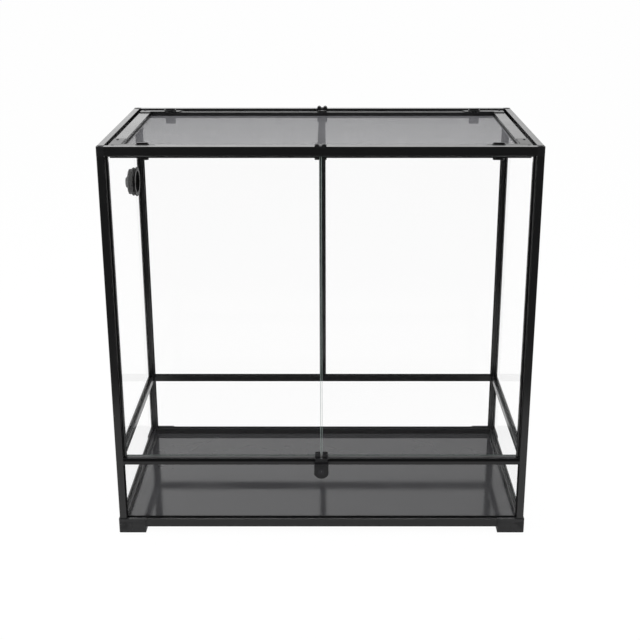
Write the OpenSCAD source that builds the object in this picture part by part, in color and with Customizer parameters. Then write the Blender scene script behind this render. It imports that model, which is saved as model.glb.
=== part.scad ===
// A tall front-opening glass terrarium for reptiles. A knock-down frame of posts and rails holds
// fixed glass panes, two glass doors over a fixed front pane, a glossy floor panel and a lift-off
// screen top. The origin is on the ground, in the middle of the frame's footprint.
// +X is the right-hand side and -Y the front. All sizes are in millimetres.

/* [Frame] */
// Width over the corner posts
frame_w = 912; // [700:1:1200]
// Depth over the corner posts
frame_d = 457; // [350:1:700]
// Height from the ground to the top of the rails
frame_h = 890; // [600:1:1200]
// Side of a square corner post
post_w = 15.5; // [14:0.5:20]
// Radius of a post's outer corner
post_corner_r = 1.5; // [0.5:0.5:3]
// Depth of the pane grooves in the posts
post_groove = 4; // [3.5:0.5:4]
// Radius of the screw port up the middle of a post
screw_port_r = 2.1; // [1.5:0.1:2.2]
// Depth of that port below a post's top
screw_port_len = 30; // [25:1:60]
// Depth of every rail, front to back
rail_d = 13.3; // [13.3:0.1:15]
// Wall of the hollow top rails
rail_wall = 1.4; // [1:0.1:1.8]
// Height of a top rail
top_rail_h = 20; // [17:0.5:30]
// Bevel along the front rail's lower front edge
rail_bevel = 1.2; // [0.5:0.1:2]
// Height of a mid rail
mid_rail_h = 15; // [14:0.5:20]
// Height of the mid rails' top above the ground
mid_rail_top = 185.5; // [150:0.5:300]
// Height of a bottom rail
bottom_rail_h = 19; // [16:0.5:30]
// Height of the bottom rails' underside above the ground
frame_floor = 14; // [8:0.5:30]
// Width of the rear mullion between the two rear panes
mullion_w = 12.8; // [10:0.2:20]
// Depth of the rear mullion
mullion_d = 11; // [9:0.5:11.5]
// Length of a corner block's legs inside the top rails
corner_leg = 25; // [15:1:40]
// Radius of a corner plug
plug_r = 5; // [4:0.1:5.5]
// How far a corner plug stands up from its block
plug_proud = 0.8; // [0.2:0.1:2]

/* [Feet] */
// Side of a foot
foot_size = 60.7; // [45:0.1:80]
// Height of a foot
foot_h = 34; // [34:0.5:45]
// How far a foot stands out from the posts
foot_out = 2.3; // [1.5:0.1:4]
// Radius of a foot's outer corner
foot_corner_r = 4; // [2:0.5:5]

/* [Glass] */
// Thickness of every pane and door
glass_t = 5; // [4:0.5:5]
// Distance from a side or rear face in to its pane
pane_setback = 4.5; // [4:0.1:5]
// Distance from the front face in to the fixed front pane and the doors
front_setback = 7; // [6.5:0.1:7]
// Depth of the pane grooves in the rails
rail_groove = 5; // [4:0.5:5]
// Thickness of the floor panel
base_t = 3; // [2:0.5:6]
// Width of the ledge that carries the floor panel
base_ledge_w = 10; // [6:1:20]
// Thickness of that ledge
base_ledge_t = 1.8; // [1.5:0.1:3]

/* [Doors] */
// Gap between the two closed doors
door_gap = 2.5; // [1.5:0.1:5]
// Distance from a side face in to a door's hinge axis
hinge_inset = 20.4; // [20.4:0.1:24]
// Radius of a door's hinge stile
stile_r = 4; // [3.8:0.1:4.2]
// How far the stile's two legs reach over the glass from the hinge axis
stile_leg = 2.2; // [1.5:0.1:2.3]
// Length of the solid ends of a stile, which hold the hinge pins
stile_end = 13; // [10:1:20]
// Radius of a hinge pin
pin_r = 1.5; // [1:0.1:2]
// Length of a hinge pin inside its stile
pin_in_stile = 12; // [8:1:13]
// Radius of a hinge bush's body
bush_r = 2.5; // [2.4:0.1:3]
// Length of a hinge bush's body in its rail
bush_len = 6; // [4:0.5:6]
// Radius of a hinge bush's flange
bush_flange_r = 3.5; // [3.2:0.1:3.8]
// Thickness of a hinge bush's flange
bush_flange_t = 0.5; // [0.3:0.1:1]
// Space between the top rail and the doors' glass
door_head_gap = 1.5; // [1:0.1:3]
// Height of the stop strip behind the tops of the doors
stop_h = 6; // [3:0.5:10]
// Thickness of the stop strip
stop_t = 1; // [0.6:0.1:1]

/* [Latch] */
// Width of a door clip
clip_w = 11.2; // [9:0.1:16]
// Distance from a door's free edge in to its clip
clip_inset = 1.5; // [0.5:0.1:4]
// Height of a door clip
clip_h = 8.7; // [7.5:0.1:14]
// Wall of a door clip behind and below the glass
clip_wall = 1; // [0.8:0.1:1.3]
// Height of a door clip's nose
nose_h = 6.7; // [6:0.1:7]
// Width of the latch bracket's front plate
bracket_w = 27; // [24:0.5:31]
// Width of the latch bracket's top plate
bracket_top_w = 31; // [27:0.5:36]
// Thickness of the latch bracket's top plate
bracket_t = 1.5; // [1:0.1:2]
// How far the latch bracket stands out in front of the mid rail
bracket_out = 4.3; // [3.8:0.1:6]
// Width of the lock body
lock_w = 31.6; // [29:0.2:40]
// Height of the lock body, which hangs from the bracket
lock_h = 31.6; // [30:0.2:40]
// How far the lock body stands out in front of the mid rail
lock_out = 10; // [8:0.5:14]
// Radius of the lock body's round lower end
lock_round_r = 17.5; // [16:0.5:20]
// How far the lock body reaches below the mid rail
lock_drop = 29.5; // [28:0.1:32]
// Radius of the key cylinder
barrel_r = 5.5; // [5.4:0.1:7]
// Radius of the key cylinder's rim
barrel_rim_r = 6.8; // [6.2:0.1:8]
// Thickness of that rim
barrel_rim_t = 0.8; // [0.4:0.1:1.5]
// Length of the key slot
key_slot_l = 6; // [4:0.5:8]
// Width of the key slot
key_slot_w = 1.4; // [0.8:0.1:2]
// Distance from the cylinder's axis to its drive pin
crank_r = 4.2; // [3.8:0.1:4.3]
// Radius of the drive pin
crank_pin_r = 1; // [0.7:0.1:1.1]
// Width of the bolt
bolt_w = 18; // [16:0.5:20]
// Thickness of the bolt
bolt_t = 2.5; // [1.5:0.1:2.5]

/* [Screen top] */
// Gap between the side rails and the screen frame
screen_side_gap = 6; // [4:0.5:10]
// Gap between the front or rear rail and the screen frame
screen_end_gap = 2.5; // [2.5:0.1:5]
// Height of the screen frame
screen_h = 14; // [11:0.5:15]
// Width of the screen frame's side bars
side_bar_w = 25; // [22:0.5:35]
// Width of the screen frame's front and rear bars
end_bar_w = 25; // [19:0.5:27]
// How far the ledges on the rails reach under the screen frame
ledge_bearing = 6.5; // [4:0.1:6.5]
// Thickness of those ledges
ledge_t = 2; // [1.5:0.1:3]
// Thickness of the mesh
mesh_t = 0.6; // [0.4:0.1:1]
// Depth of the groove that holds the mesh's edge
mesh_groove = 2; // [1.2:0.1:2]
// Material left under that groove
mesh_floor = 5; // [0.8:0.1:8]
// Width of a drawn strand of the mesh
strand_w = 2; // [1:0.5:3]
// Openings of the drawn mesh across the width
mesh_columns = 24; // [12:1:24]
// Openings of the drawn mesh across the depth
mesh_rows = 12; // [6:1:12]
// Thickness of a corner plate
plate_t = 1.8; // [1.2:0.1:2.5]
// Length of a corner plate along the front or rear, at its outer edge
plate_x = 101; // [88:1:110]
// Length of a front corner plate along the side
plate_front_y = 80; // [60:1:100]
// Length of a rear corner plate along the side
plate_rear_y = 33; // [28:1:60]
// How much the slanted end of a corner plate draws in
plate_slant = 9; // [4:1:14]
// Margin round a corner plate on the screen frame
plate_margin = 0.5; // [0.2:0.1:1.5]

/* [Screen knobs] */
// Distance from a side face in to a knob's axis
knob_inset = 90; // [80:1:95]
// Distance from the front or rear face in to a knob's axis
knob_set_in = 28.5; // [28.3:0.1:29]
// Radius of a knob
knob_r = 14; // [10:0.5:14]
// Thickness of a knob's disc
knob_t = 2.6; // [2:0.1:5]
// Length of a knob's grip
grip_l = 24; // [14:1:25]
// Width of a knob's grip
grip_w = 6; // [4:0.5:9]
// Height of a knob's grip above its disc
grip_h = 2.4; // [1.6:0.1:6]
// Radius of a knob's stem
stem_r = 4; // [3:0.5:4]
// Length of the cam under the screen
cam_l = 24; // [22:1:26]
// Width of the cam
cam_w = 10; // [8:0.5:10]
// Height of the cam
cam_h = 12.4; // [6:0.1:16]
// Extra radius of a corner plate round its knob
plate_bulge = 3; // [1:0.5:6]

/* [Brace] */
// Width of the brace under the screen
brace_w = 16; // [10:0.5:22]
// Height of the brace
brace_h = 10.5; // [8:0.5:14]
// Width of the hooks that hang the brace on the rails
hook_w = 24.5; // [24.5:0.5:34]
// Thickness of a hook
hook_t = 1.3; // [1:0.1:1.6]
// Radius of the two lobes on top of a hook
lobe_r = 5; // [3:0.5:6]
// How far a hook's lip reaches down over the rail's outer face
hook_lip = 3; // [1:0.5:8]
// How far a hook's foot reaches in under the brace
hook_foot = 15; // [8:1:30]

/* [Cable port] */
// Distance of the port's axis from the rear face
port_from_rear = 85; // [75:1:200]
// Distance of the port's axis below the top of the rails
port_from_top = 164; // [100:1:400]
// Radius of the round hole in the left pane
port_hole_r = 29; // [28.5:0.5:34]
// Radius of the port's inner ring
port_ring_r = 35; // [33:0.5:44]
// Thickness of that ring
port_ring_t = 3; // [2:0.5:6]
// Radius of the port's outer housing
port_cup_r = 34; // [33:0.5:44]
// Depth of the outer housing
port_cup_d = 9.5; // [8:0.5:12]
// Thickness of the flange by which the housing lies on the pane
port_flange_t = 3.4; // [2.6:0.1:6]
// Thickness of the housing round its bore
port_step = 4.5; // [3:0.1:6]
// Wall of the tube and of the housing's end
port_wall = 2.5; // [2:0.1:3]
// Radius of the cable holes in the housing and the cover
cable_hole_r = 9; // [6:0.5:9]
// Distance from the port's axis to a cable hole
cable_offset = 15; // [14.7:0.1:15]
// Radius of the port's cover
port_cover_r = 30.4; // [28:0.2:33]
// Thickness of the cover
port_cover_t = 2.8; // [2:0.1:4]
// Height of the knob in the cover's middle
port_knob_h = 7; // [4:0.5:8]
// Radius of that knob
port_knob_r = 14.6; // [11:0.2:17]
// Chamfer round the knob's end
port_knob_edge = 1.4; // [0.5:0.1:2]
// How far the knob flares out into the cover
port_flare = 8; // [2:0.5:10]
// Height of that flare
port_flare_h = 2.2; // [1:0.1:3.5]
// Radius of the cover's pivot
pivot_r = 4; // [2.5:0.5:4]
// How much wider the pivot's head is
pivot_head = 1.5; // [0.5:0.1:1.8]
// Thickness of the pivot's head
pivot_head_t = 1.2; // [0.8:0.1:2]

/* [Clearances] */
// Space on each side of a pane in its groove
pane_slack = 0.2; // [0.1:0.05:0.3]
// Space past a pane's edge at the bottom of a groove
pane_end_gap = 0.3; // [0.2:0.1:1]
// Radial clearance of a shaft that turns
run_gap = 0.05; // [0.02:0.01:0.1]
// Radial clearance of a part that is pressed in
press_gap = 0.02; // [0.01:0.01:0.04]
// Clearance between flat parts that slide past each other
slide_gap = 0.3; // [0.2:0.05:0.3]
// Clearance of a part that is dropped into place
drop_gap = 0.5; // [0.3:0.1:1]
// Clearance of a leg plugged into a rail
leg_gap = 0.1; // [0.05:0.05:0.3]

/* [Hidden] */

$fn = 48;
cut = 1;                                     // how far a cutting solid runs past a face
half_w = frame_w / 2;
half_d = frame_d / 2;
post_mid = post_w / 2;
top_rail_z = frame_h - top_rail_h;
mid_rail_z = mid_rail_top - mid_rail_h;
bottom_rail_top = frame_floor + bottom_rail_h;
hollow_z = top_rail_z + rail_groove + rail_wall;
side_ledge_w = screen_side_gap + ledge_bearing;
end_ledge_w = screen_end_gap + ledge_bearing;

// Doors: heights above the ground and distances in from the front face
door_axis_d = front_setback + glass_t / 2;
stile_z0 = mid_rail_top + bush_flange_t + slide_gap;
stile_z1 = top_rail_z - bush_flange_t - slide_gap;
door_glass_z1 = top_rail_z - door_head_gap;
glass_in_stile = 0.2;                        // gap between the hinge axis and the glass edge
bracket_top_z = mid_rail_top + bracket_t;
clip_z = bracket_top_z + slide_gap;
door_glass_z0 = clip_z + clip_wall;
nose_d = 0.2;                                // how far behind the front face a clip's nose ends

// Lock: the crank turns from 45 degrees below to 45 degrees above the horizontal
crank_rise = crank_r * sin(45);
bolt_travel = 2 * crank_rise;
lock_bottom = mid_rail_z - lock_drop;
lock_top = lock_bottom + lock_h;
lock_z = lock_bottom + lock_round_r;
bolt_z1 = bracket_top_z - slide_gap;
bolt_z0 = lock_z - 8.5;
bolt_slack = 0.15;
bolt_d0 = -slide_gap - bolt_t;               // front face of the bolt
barrel_back = bolt_d0 - slide_gap;
slot_slack = 0.2;

// Screen: the frame rests on the rails' ledges
screen_z = top_rail_z + ledge_t;
screen_top = screen_z + screen_h;
screen_half_w = half_w - rail_d - screen_side_gap;
screen_half_d = half_d - rail_d - screen_end_gap;
mesh_z = screen_z + mesh_floor;
mesh_half_w = screen_half_w - side_bar_w;
mesh_half_d = screen_half_d - end_bar_w;
plate_top = screen_top + plate_t;
knob_x = half_w - knob_inset;
knob_y = half_d - knob_set_in;
cam_top = top_rail_z - slide_gap * 2;

brace_z1 = screen_z - drop_gap;
brace_z0 = brace_z1 - brace_h;

// Cable port: distances in from the left face
port_y = half_d - port_from_rear;
port_z = frame_h - port_from_top;
port_tube_r = port_hole_r - 2 * slide_gap;
port_bore_r = port_tube_r - port_wall;
port_step_r = port_bore_r + port_step;
port_in = pane_setback + glass_t + port_ring_t;
port_out = pane_setback - port_cup_d;

// A box between two opposite corners
module block(lo, hi) {
    translate(lo) cube(hi - lo);
}

// Mirrors its children left to right, or front to back, if asked to
module flip(x, y) {
    if (x && y) {
        mirror([1, 0, 0]) mirror([0, 1, 0]) children();
    } else if (x) {
        mirror([1, 0, 0]) children();
    } else if (y) {
        mirror([0, 1, 0]) children();
    } else {
        children();
    }
}

// Places children drawn from a corner's outer edge, with +x and +y pointing inwards
module at_corner(right, rear) {
    flip(right, rear) translate([-half_w, -half_d, 0]) children();
}

// Places children drawn along a side, with x along it and +y pointing inwards
module on_side(side) {
    if (side == "front" || side == "rear") {
        flip(false, side == "rear") translate([0, -half_d, 0]) children();
    } else {
        flip(side == "right", false) translate([-half_w, 0, 0]) rotate([0, 0, -90]) children();
    }
}

function is_end(side) = side == "front" || side == "rear";
function span(side) = (is_end(side) ? half_w : half_d) - post_w;
function setback(side) = side == "front" ? front_setback : pane_setback;

// A pane's groove along a side, between two heights
module groove(side, z0, z1) {
    reach = span(side) + cut;
    block([-reach, setback(side) - pane_slack, z0],
          [reach, setback(side) + glass_t + pane_slack, z1]);
}

// A square with one rounded corner at the origin
module corner_outline(size, radius) {
    translate([radius, 0]) square([size - radius, size]);
    translate([0, radius]) square([size, size - radius]);
    translate([radius, radius]) circle(radius);
}

module foot(right, rear) {
    front_reach = (rear ? pane_setback : front_setback) - pane_end_gap;
    side_reach = pane_setback - pane_end_gap;
    color("#2f2f31") at_corner(right, rear) difference() {
        translate([-foot_out, -foot_out, 0])
            linear_extrude(foot_h) corner_outline(foot_size, foot_corner_r);
        block([0, 0, frame_floor], [foot_size, foot_size, bottom_rail_top]);
        block([0, 0, bottom_rail_top - cut], [post_w, post_w, foot_h + cut]);
        block([side_reach, front_reach, bottom_rail_top - cut], [foot_size, foot_size, foot_h + cut]);
    }
}

module post(right, rear) {
    across = rear ? pane_setback : front_setback;
    across_top = rear ? top_rail_z + cut : mid_rail_z + rail_groove;
    color("#232325") at_corner(right, rear) difference() {
        translate([0, 0, frame_floor])
            linear_extrude(top_rail_z - frame_floor) corner_outline(post_w, post_corner_r);
        block([pane_setback - pane_slack, post_w - post_groove, frame_floor - cut],
              [pane_setback + glass_t + pane_slack, post_w + cut, top_rail_z + cut]);
        block([post_w - post_groove, across - pane_slack, frame_floor - cut],
              [post_w + cut, across + glass_t + pane_slack, across_top]);
        translate([post_mid, post_mid, top_rail_z - screw_port_len])
            cylinder(h = screw_port_len + cut, r = screw_port_r);
    }
}

module bottom_rail(side) {
    reach = span(side);
    color("#2f2f31") on_side(side) difference() {
        block([-reach, 0, frame_floor], [reach, rail_d, bottom_rail_top]);
        groove(side, bottom_rail_top - rail_groove, bottom_rail_top + cut);
    }
}

module mid_rail(side) {
    reach = span(side);
    color("#262628") on_side(side) difference() {
        block([-reach, 0, mid_rail_z], [reach, rail_d, mid_rail_top]);
        groove(side, mid_rail_z - cut, mid_rail_z + rail_groove);
        if (side == "front") {
            at_hinges() translate([0, 0, mid_rail_top - bush_len])
                cylinder(h = bush_len + cut, r = bush_r + press_gap);
        } else {
            groove(side, mid_rail_top - rail_groove, mid_rail_top + cut);
        }
    }
}

// Both hinge axes, from the middle of the front side
module at_hinges() {
    for (end = [-1, 1])
        translate([end * (half_w - hinge_inset), door_axis_d, 0]) children();
}

module top_rail(side) {
    reach = span(side);
    color("#1b1b1d") on_side(side) difference() {
        block([-reach, 0, top_rail_z], [reach, rail_d, frame_h]);
        block([-reach - cut, rail_wall, hollow_z], [reach + cut, rail_d - rail_wall, frame_h - rail_wall]);
        if (side == "front") {
            at_hinges() translate([0, 0, top_rail_z - cut])
                cylinder(h = bush_len + cut, r = bush_r + press_gap);
            translate([-reach - cut, 0, top_rail_z]) rotate([45, 0, 0])
                translate([0, -rail_bevel * sin(45), -rail_bevel * sin(45)])
                    cube([2 * (reach + cut), 2 * rail_bevel * sin(45), 2 * rail_bevel * sin(45)]);
        } else {
            groove(side, top_rail_z - cut, top_rail_z + rail_groove);
        }
    }
}

// The strips inside the rails that carry the floor panel and the screen top. The upper ones at
// the front and rear leave the middle open for the brace's hooks.
module ledges() {
    open_half = hook_w / 2 + drop_gap;
    end_half = half_w - rail_d - side_ledge_w - drop_gap;
    base_in = rail_d + base_ledge_w;
    color("#1b1b1d") for (side = ["front", "rear", "left", "right"]) on_side(side) {
        base_reach = is_end(side) ? half_w - base_in - drop_gap : span(side);
        block([-base_reach, rail_d, frame_floor], [base_reach, base_in, frame_floor + base_ledge_t]);
        if (is_end(side)) {
            for (end = [false, true]) flip(end, false)
                block([open_half, rail_d, top_rail_z],
                      [end_half, rail_d + end_ledge_w, top_rail_z + ledge_t]);
        } else {
            block([-span(side), rail_d, top_rail_z],
                  [span(side), rail_d + side_ledge_w, top_rail_z + ledge_t]);
        }
    }
}

// Corner blocks with a leg into each top rail, their screws into the posts, and the plugs on top
module top_corners() {
    head_z = top_rail_z + 12;
    head_t = 3;
    leg_lo = rail_wall + leg_gap;
    leg_hi = rail_d - rail_wall - leg_gap;
    leg_z0 = hollow_z + leg_gap;
    leg_z1 = frame_h - rail_wall - leg_gap;
    color("#1b1b1d") for (right = [false, true], rear = [false, true]) at_corner(right, rear) {
        difference() {
            union() {
                translate([0, 0, top_rail_z]) linear_extrude(top_rail_h)
                    corner_outline(post_w, post_corner_r);
                block([post_w, leg_lo, leg_z0], [post_w + corner_leg, leg_hi, leg_z1]);
                block([leg_lo, post_w, leg_z0], [leg_hi, post_w + corner_leg, leg_z1]);
            }
            translate([post_mid, post_mid, top_rail_z - cut])
                cylinder(h = top_rail_h + 2 * cut, r = screw_port_r + run_gap);
            translate([post_mid, post_mid, head_z]) cylinder(h = top_rail_h, r = plug_r + run_gap);
            block([pane_setback - pane_slack, post_w - post_groove, top_rail_z - cut],
                  [pane_setback + glass_t + pane_slack, post_w + cut, top_rail_z + rail_groove]);
            if (rear)
                block([post_w - post_groove, pane_setback - pane_slack, top_rail_z - cut],
                      [post_w + cut, pane_setback + glass_t + pane_slack, top_rail_z + rail_groove]);
        }
        translate([post_mid, post_mid, 0]) {
            translate([0, 0, top_rail_z - screw_port_len + head_t])
                cylinder(h = head_z - top_rail_z + screw_port_len - head_t, r = screw_port_r - run_gap);
            translate([0, 0, head_z]) cylinder(h = head_t, r = plug_r - 1);
        }
        translate([post_mid, post_mid, head_z + head_t])
            cylinder(h = frame_h + plug_proud - head_z - head_t, r = plug_r);
    }
}

module base_panel() {
    edge = rail_d + drop_gap;
    notch = post_w + drop_gap;
    z0 = frame_floor + base_ledge_t;
    color("#3a3b3d") difference() {
        block([edge - half_w, edge - half_d, z0], [half_w - edge, half_d - edge, z0 + base_t]);
        for (right = [false, true], rear = [false, true]) at_corner(right, rear)
            block([0, 0, z0 - cut], [notch, notch, z0 + base_t + cut]);
    }
}

// A pane between two posts, standing on the floor of its lower groove
module pane(side, z0, z1, x0, x1) {
    on_side(side) block([x0, setback(side), z0], [x1, setback(side) + glass_t, z1]);
}

module lower_pane(side) {
    reach = span(side) + post_groove - pane_end_gap;
    color([0.75, 0.87, 0.85, 0.35])
        pane(side, bottom_rail_top - rail_groove, mid_rail_z + rail_groove - pane_end_gap, -reach, reach);
}

upper_pane_z0 = mid_rail_top - rail_groove;
upper_pane_z1 = top_rail_z + rail_groove - pane_end_gap;

module upper_pane(side) {
    reach = span(side) + post_groove - pane_end_gap;
    color([0.75, 0.87, 0.85, 0.35]) difference() {
        pane(side, upper_pane_z0, upper_pane_z1, -reach, reach);
        if (side == "left")
            at_port() disc(pane_setback - cut, pane_setback + glass_t + cut, port_hole_r);
    }
}

// The two rear panes, which meet in the mullion
module upper_panes_rear() {
    reach = span("rear") + post_groove - pane_end_gap;
    color([0.75, 0.87, 0.85, 0.35]) for (right = [false, true]) flip(right, false)
        pane("rear", upper_pane_z0, upper_pane_z1, -reach, -mullion_w / 2 + post_groove - pane_end_gap);
}

module rear_mullion() {
    front_d = rail_d - drop_gap;
    color("#1f1f21") on_side("rear") difference() {
        block([-mullion_w / 2, front_d - mullion_d, mid_rail_top], [mullion_w / 2, front_d, top_rail_z]);
        for (turn = [false, true]) flip(turn, false)
            block([mullion_w / 2 - post_groove, pane_setback - pane_slack, mid_rail_top - cut],
                  [mullion_w / 2 + cut, pane_setback + glass_t + pane_slack, top_rail_z + cut]);
    }
}

// The strip under the front rail that the doors close against
module door_stop() {
    reach = half_w - hinge_inset - stile_r - drop_gap;
    back = front_setback + glass_t + slide_gap;
    color("#161617") on_side("front")
        block([-reach, back, top_rail_z - stop_h], [reach, back + stop_t, top_rail_z]);
}

module hinge_bushes() {
    color("#3b3b3d") on_side("front") at_hinges() {
        hinge_bush(mid_rail_top, -1);
        hinge_bush(top_rail_z, 1);
    }
}

// A flanged bush in a rail's face at height z, its body pointing up or down
module hinge_bush(z, up) {
    translate([0, 0, z]) mirror([0, 0, up > 0 ? 0 : 1]) difference() {
        union() {
            cylinder(h = bush_len, r = bush_r);
            translate([0, 0, -bush_flange_t]) cylinder(h = bush_flange_t, r = bush_flange_r);
        }
        translate([0, 0, -bush_flange_t - cut])
            cylinder(h = bush_len + bush_flange_t + 2 * cut, r = pin_r + run_gap);
    }
}

// The doors are drawn on the left, with x and y measured in from the frame's front left corner
module door_glass(right) {
    x0 = hinge_inset + glass_in_stile;
    x1 = half_w - door_gap / 2;
    notch = hinge_inset + stile_leg + slide_gap;
    color([0.75, 0.87, 0.85, 0.35]) at_corner(right, false) difference() {
        block([x0, front_setback, door_glass_z0], [x1, front_setback + glass_t, door_glass_z1]);
        block([x0 - cut, front_setback - cut, door_glass_z0 - cut],
              [notch, front_setback + glass_t + cut, stile_z0 + stile_end]);
        block([x0 - cut, front_setback - cut, stile_z1 - stile_end],
              [notch, front_setback + glass_t + cut, door_glass_z1 + cut]);
    }
}

module door_stile(right) {
    h = stile_z1 - stile_z0;
    color("#1d1d1f") at_corner(right, false) translate([hinge_inset, door_axis_d, stile_z0]) difference() {
        linear_extrude(h) {
            intersection() {
                circle(stile_r);
                translate([-stile_r, -stile_r]) square([stile_r + stile_leg, 2 * stile_r]);
            }
            translate([0, -stile_r]) square([stile_leg, 2 * stile_r]);
        }
        block([glass_in_stile, -glass_t / 2, stile_end], [stile_leg + cut, glass_t / 2, h - stile_end]);
        translate([0, 0, -cut]) cylinder(h = pin_in_stile + cut, r = pin_r + press_gap);
        translate([0, 0, h - pin_in_stile]) cylinder(h = pin_in_stile + cut, r = pin_r + press_gap);
    }
}

module door_pins(right) {
    out = slide_gap + bush_flange_t + bush_len - 1;
    color("silver") at_corner(right, false) translate([hinge_inset, door_axis_d, 0]) {
        translate([0, 0, stile_z0 - out]) cylinder(h = out + pin_in_stile, r = pin_r);
        translate([0, 0, stile_z1 - pin_in_stile]) cylinder(h = out + pin_in_stile, r = pin_r);
    }
}

// A clip on the door's lower free corner. Its nose is what the lock's bolt stands in front of.
module door_clip(right) {
    x1 = half_w - door_gap / 2 - clip_inset;
    x0 = x1 - clip_w;
    front = front_setback - 2.5;
    back = front_setback + glass_t;
    color("#141415") at_corner(right, false) difference() {
        union() {
            block([x0, front, clip_z], [x1, back + clip_wall, clip_z + clip_h]);
            block([x0, nose_d, clip_z], [x1, front, clip_z + nose_h]);
        }
        block([x0 - cut, front_setback, door_glass_z0], [x1 + cut, back, clip_z + clip_h + cut]);
    }
}

// The channel in the bracket and the lock body that the bolt slides in
module bolt_channel() {
    side = bolt_w / 2 + bolt_slack;
    block([-side, bolt_d0 - bolt_slack, bolt_z0 - 1.5], [side, 0, bracket_top_z + cut]);
}

module latch_bracket() {
    color("#2a2a2c") on_side("front") difference() {
        union() {
            block([-bracket_w / 2, -bracket_out, lock_top], [bracket_w / 2, 0, bracket_top_z]);
            block([-bracket_top_w / 2, -bracket_out, mid_rail_top],
                  [bracket_top_w / 2, front_setback - drop_gap, bracket_top_z]);
        }
        bolt_channel();
    }
}

module lock_body() {
    back_w = bolt_w / 2 + 2;
    color("#2b292b") on_side("front") difference() {
        union() {
            rotate([90, 0, 0]) linear_extrude(lock_out) {
                translate([-lock_w / 2, lock_z]) square([lock_w, lock_top - lock_z]);
                intersection() {
                    translate([0, lock_z]) circle(lock_round_r);
                    translate([-lock_w / 2, lock_bottom]) square([lock_w, lock_round_r]);
                }
            }
            block([-back_w, 0, bolt_z0 - 3.5], [back_w, 1.2, mid_rail_z - slide_gap]);
        }
        bolt_channel();
        translate([0, -lock_out - cut, lock_z]) rotate([-90, 0, 0])
            cylinder(h = lock_out + cut + bolt_d0, r = barrel_r + run_gap);
    }
}

// The key cylinder, with its drive pin at rest 45 degrees below the horizontal
module lock_cylinder() {
    slot_depth = 5;
    pin_end = bolt_d0 + bolt_t - slide_gap;
    color("#8d8f92") on_side("front") translate([0, 0, lock_z]) difference() {
        union() {
            translate([0, -lock_out, 0]) rotate([-90, 0, 0])
                cylinder(h = lock_out + barrel_back, r = barrel_r);
            translate([0, -lock_out - barrel_rim_t, 0]) rotate([-90, 0, 0])
                cylinder(h = barrel_rim_t, r = barrel_rim_r);
            translate([crank_rise, barrel_back, -crank_rise]) rotate([-90, 0, 0])
                cylinder(h = pin_end - barrel_back, r = crank_pin_r);
        }
        block([-key_slot_w / 2, -lock_out - barrel_rim_t - cut, -key_slot_l / 2],
              [key_slot_w / 2, -lock_out - barrel_rim_t + slot_depth, key_slot_l / 2]);
    }
}

module lock_bolt() {
    pin_play = crank_pin_r + slot_slack;
    color("#b9bbbe") on_side("front") difference() {
        block([-bolt_w / 2, bolt_d0, bolt_z0], [bolt_w / 2, bolt_d0 + bolt_t, bolt_z1]);
        block([crank_rise - pin_play, bolt_d0 - cut, lock_z - crank_rise - pin_play],
              [crank_r + pin_play, cut, lock_z - crank_rise + pin_play]);
    }
}

// The screen frame's bars are drawn from the middle, standing on the ledges
module screen_bar(side) {
    reach = is_end(side) ? mesh_half_w : screen_half_d;
    outer = rail_d + (is_end(side) ? screen_end_gap : screen_side_gap);
    inner = outer + (is_end(side) ? end_bar_w : side_bar_w);
    groove_top = mesh_z + mesh_t + 2 * pane_slack;
    color("#202022") on_side(side) difference() {
        block([-reach, outer, screen_z], [reach, inner, screen_top]);
        block([-reach - cut, inner - mesh_groove, mesh_z], [reach + cut, inner + cut, groove_top]);
        if (is_end(side)) for (end = [-1, 1])
            translate([end * knob_x, knob_set_in, screen_z - cut])
                cylinder(h = screen_h + 2 * cut, r = stem_r + run_gap);
    }
}

// An L-shaped plate over a corner of the screen frame, swelling round the knob
module screen_corner(right, rear) {
    x0 = rail_d + screen_side_gap + plate_margin;
    y0 = rail_d + screen_end_gap + plate_margin;
    y1 = rail_d + screen_end_gap + end_bar_w - plate_margin;
    x1 = rail_d + screen_side_gap + side_bar_w - plate_margin;
    x_end = x0 + plate_x;
    y_end = y0 + (rear ? plate_rear_y : plate_front_y);
    bulge_r = knob_r + plate_bulge;
    at_corner(right, rear) translate([0, 0, screen_top]) linear_extrude(plate_t) difference() {
        union() {
            polygon([[x0, y0], [x_end, y0], [x_end - plate_slant, y1], [x1, y1], [x1, y_end], [x0, y_end]]);
            intersection() {
                translate([knob_inset, knob_set_in]) circle(bulge_r);
                translate([x0, y0]) square([plate_x, 2 * bulge_r]);
            }
        }
        translate([knob_inset, knob_set_in]) circle(stem_r + run_gap);
    }
}

module screen_corners() {
    color("#242426") for (right = [false, true], rear = [false, true]) screen_corner(right, rear);
}

module screen_mesh() {
    edge = mesh_groove - pane_end_gap;
    pitch_x = (2 * mesh_half_w - strand_w) / mesh_columns;
    pitch_y = (2 * mesh_half_d - strand_w) / mesh_rows;
    color("#8c8c8e") translate([0, 0, mesh_z]) linear_extrude(mesh_t) difference() {
        translate([-mesh_half_w - edge, -mesh_half_d - edge])
            square([2 * (mesh_half_w + edge), 2 * (mesh_half_d + edge)]);
        for (i = [0 : mesh_columns - 1], j = [0 : mesh_rows - 1])
            translate([i * pitch_x + strand_w - mesh_half_w, j * pitch_y + strand_w - mesh_half_d])
                square([pitch_x - strand_w, pitch_y - strand_w]);
    }
}

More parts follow.
